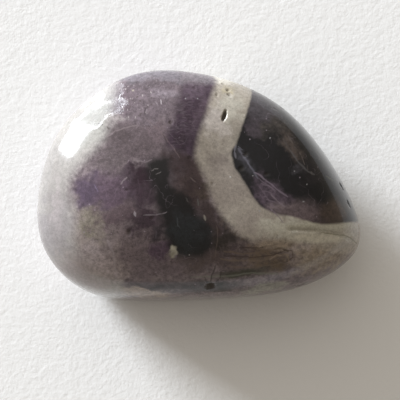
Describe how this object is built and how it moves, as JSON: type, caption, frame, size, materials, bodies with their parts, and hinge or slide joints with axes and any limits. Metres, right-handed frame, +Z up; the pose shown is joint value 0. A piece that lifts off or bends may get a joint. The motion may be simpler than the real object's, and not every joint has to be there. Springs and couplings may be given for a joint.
{
  "type": "tumbled amethyst stone",
  "caption": "Smooth tumbled pebble of banded chevron amethyst, broad and round at one end and pointed at the other, resting on a worn flat.",
  "frame": {"origin": "on the worn flat underside, below the middle of the stone's outline seen from above", "axes": "+X along the longest extent towards the pointed tip, +Y across the stone towards its more curved long side, +Z up and along the shortest extent"},
  "size_m": [0.03, 0.0212, 0.0119],
  "materials": {
    "chevron_amethyst": "drum-polished quartz, glossy: dark purple and smoky brown zones with cream and milky white chevron bands, fine healed cracks and small open pits"
  },
  "bodies": {
    "root": {"amethyst_stone": "chevron_amethyst"}
  },
  "joints": []
}
